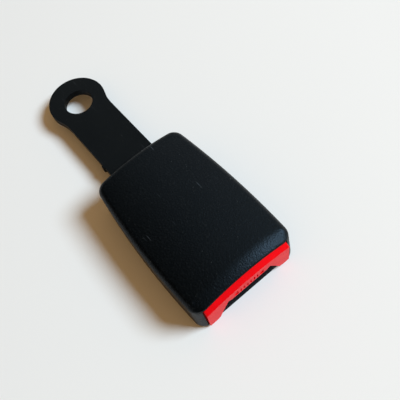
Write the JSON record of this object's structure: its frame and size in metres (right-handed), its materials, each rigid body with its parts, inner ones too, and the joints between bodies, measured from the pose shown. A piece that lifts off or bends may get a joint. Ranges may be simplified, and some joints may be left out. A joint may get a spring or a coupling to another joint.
{
  "type": "seat belt buckle",
  "caption": "Seat belt buckle on a flat steel stem: crowned plastic covers, push button with the tongue's slot, spring latch, ejector and an anchor bolt hole.",
  "frame": {"origin": "centre of the anchor bolt hole, on the underside of the anchor plate", "axes": "+Z along the bolt hole, towards the crowned cover; the buckle's length runs along Y, with the button and the tongue's slot at the -Y end"},
  "size_m": [0.0438, 0.1216, 0.0186],
  "materials": {
    "black_plastic": "fine leather-like moulded grain",
    "red_plastic": "smooth satin gloss",
    "painted_steel": "satin black paint",
    "plated_steel": "zinc plated",
    "hardened_steel": "ground, oiled",
    "spring_steel": "bright drawn wire",
    "natural_plastic": "satin natural acetal",
    "dark_plastic": "satin"
  },
  "bodies": {
    "housing": {"top_cover": "black_plastic", "bottom_cover": "black_plastic", "buckle_frame": "plated_steel", "anchor_plate": "painted_steel", "anchor_rivets": "plated_steel", "latch_pivot_pin": "plated_steel", "pivot_pin_clip": "spring_steel", "tongue_guide": "dark_plastic", "button_spring_left": "spring_steel", "button_spring_right": "spring_steel", "ejector_spring": "spring_steel", "latch_spring": "spring_steel"},
    "button": {"push_button": "red_plastic"},
    "latch": {"latch": "hardened_steel", "latch_lift_pin": "plated_steel"},
    "ejector": {"ejector": "natural_plastic"}
  },
  "joints": [
    {"name": "button_slide", "type": "slide", "parent": "housing", "child": "button", "axis": [0, 1, 0], "range_m": [0, 0.005], "stiffness_N_per_m": 600, "springref_m": -0.006, "deforming": ["button_spring_left", "button_spring_right"]},
    {"name": "latch_pivot", "type": "hinge", "parent": "housing", "child": "latch", "pos_m": [0, -0.062, 0.0076], "axis": [-1, 0, 0], "range_deg": [0, 12], "stiffness_Nm_per_rad": 0.02, "springref_deg": -17.19, "deforming": ["latch_spring"]},
    {"name": "ejector_slide", "type": "slide", "parent": "housing", "child": "ejector", "axis": [0, 1, 0], "range_m": [0, 0.012], "stiffness_N_per_m": 120, "springref_m": -0.01, "deforming": ["ejector_spring"]}
  ],
  "couplings": [
    {"joint": "latch_pivot", "follows": "button_slide", "rad_per_m": 41.88}
  ]
}
